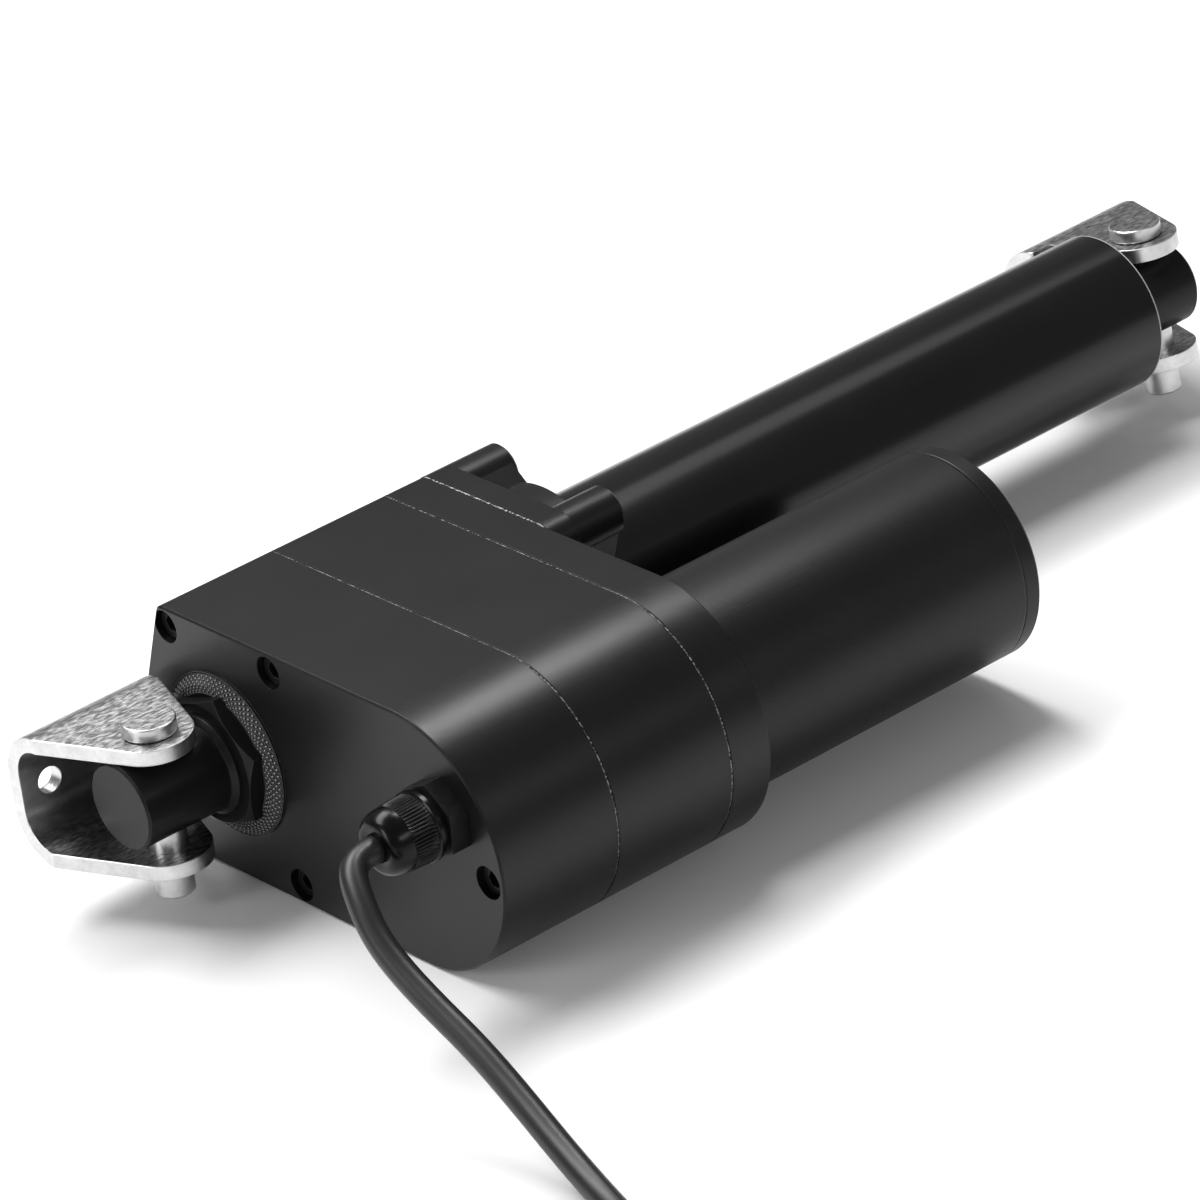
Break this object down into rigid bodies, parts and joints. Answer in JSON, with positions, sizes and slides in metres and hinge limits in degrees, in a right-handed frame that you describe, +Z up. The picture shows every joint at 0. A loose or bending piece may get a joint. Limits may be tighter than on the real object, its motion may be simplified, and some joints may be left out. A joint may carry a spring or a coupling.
{
  "type": "electric linear actuator",
  "caption": "Electric linear actuator with a parallel motor, a gearbox, a telescopic rod in a tube and a pivoting sheet bracket at each end.",
  "frame": {"origin": "under the middle of the actuator's own bounding box, on the plane of the gearbox's flat underside, measured without its cable", "axes": "+X the way the rod extends, +Y from the motor's side towards the tube's side, +Z up"},
  "size_m": [0.4882, 0.313, 0.07],
  "materials": {
    "black_aluminium": "satin black, fine grain",
    "tube_black": "semi-gloss black",
    "motor_black": "satin black powder coat",
    "black_steel": "black oxide",
    "zinc_steel": "zinc plated, brushed",
    "bright_steel": "ground",
    "gear_steel": "sintered, oiled",
    "bronze": "machined bronze",
    "copper": "enamelled copper wire",
    "magnet": "sintered ferrite",
    "lamination": "stacked sheet",
    "carbon": "graphite",
    "board": "glass fibre board",
    "nylon": "matte black nylon",
    "nut_plastic": "acetal",
    "seal_rubber": "matte",
    "cable_rubber": "matte dark grey"
  },
  "bodies": {
    "housing": {"rear_cover": "black_aluminium", "middle_housing": "black_aluminium", "front_cover": "black_aluminium", "rear_gasket": "seal_rubber", "middle_gasket": "seal_rubber", "flange_gasket": "seal_rubber", "tube_flange": "black_aluminium", "knurled_ring": "black_steel", "lock_nut": "black_steel", "rear_eye": "black_steel", "rear_pin": "zinc_steel", "outer_tube": "tube_black", "front_bushing": "nylon", "rod_wiper": "seal_rubber", "switch_strip": "board", "limit_switches": "nylon", "screw_rear_bearing": "bright_steel", "screw_front_bearing": "bright_steel", "first_gear_shaft": "bright_steel", "second_gear_shaft": "bright_steel", "motor_can": "motor_black", "motor_plate": "bright_steel", "motor_cap": "motor_black", "motor_front_bearing": "bright_steel", "motor_rear_bearing": "bright_steel", "motor_magnets": "magnet", "brush_plate": "board", "brushes": "carbon", "tube_screws": "black_steel", "cover_screw": "black_steel", "motor_screws": "black_steel", "gland_body": "nylon", "gland_nut": "nylon", "gland_seal": "seal_rubber", "gland_lock_nut": "nylon", "inner_cable": "cable_rubber", "motor_leads": "cable_rubber", "power_cable": "cable_rubber", "cable_coil": "cable_rubber", "cable_end": "cable_rubber", "lead_ends": "copper"},
    "armature": {"motor_shaft": "bright_steel", "motor_pinion": "gear_steel", "armature_core": "lamination", "armature_windings": "copper", "commutator": "copper"},
    "first_wheel": {"first_gear": "gear_steel"},
    "second_wheel": {"second_gear": "gear_steel"},
    "screw": {"lead_screw": "bright_steel", "screw_gear": "gear_steel", "screw_stop": "bright_steel"},
    "rod": {"drive_nut": "nut_plastic", "inner_rod": "bright_steel", "rod_end": "black_steel", "front_pin": "zinc_steel"},
    "rear_mount": {"rear_bracket": "zinc_steel"},
    "front_mount": {"front_bracket": "zinc_steel"}
  },
  "joints": [
    {"name": "motor_spin", "type": "hinge", "parent": "housing", "child": "armature", "pos_m": [0, -0.03455, 0.035], "axis": [1, 0, 0], "range_deg": [0, 238040.82]},
    {"name": "first_gear_spin", "type": "hinge", "parent": "housing", "child": "first_wheel", "pos_m": [-0.0893, -0.01181, 0.04328], "axis": [1, 0, 0], "range_deg": [-79346.95, 0]},
    {"name": "second_gear_spin", "type": "hinge", "parent": "housing", "child": "second_wheel", "pos_m": [-0.0993, 0.00946, 0.02976], "axis": [1, 0, 0], "range_deg": [0, 30857.15]},
    {"name": "screw_spin", "type": "hinge", "parent": "housing", "child": "screw", "pos_m": [0, 0.03615, 0.035], "axis": [1, 0, 0], "range_deg": [-10800.01, 0]},
    {"name": "rod_slide", "type": "slide", "parent": "housing", "child": "rod", "axis": [1, 0, 0], "range_m": [0, 0.1501]},
    {"name": "rear_bracket_hinge", "type": "hinge", "parent": "housing", "child": "rear_mount", "pos_m": [-0.1691, 0.03615, 0.035], "axis": [0, 0, 1], "range_deg": [0, 160]},
    {"name": "front_bracket_hinge", "type": "hinge", "parent": "rod", "child": "front_mount", "pos_m": [0.1715, 0.03615, 0.035], "axis": [0, 0.1132, 0.9936], "range_deg": [-160, 0]}
  ],
  "couplings": [
    {"joint": "first_gear_spin", "follows": "motor_spin", "ratio": -0.33333},
    {"joint": "second_gear_spin", "follows": "motor_spin", "ratio": 0.12963},
    {"joint": "screw_spin", "follows": "motor_spin", "ratio": -0.04537},
    {"joint": "rod_slide", "follows": "motor_spin", "m_per_rad": 0.000036105}
  ]
}
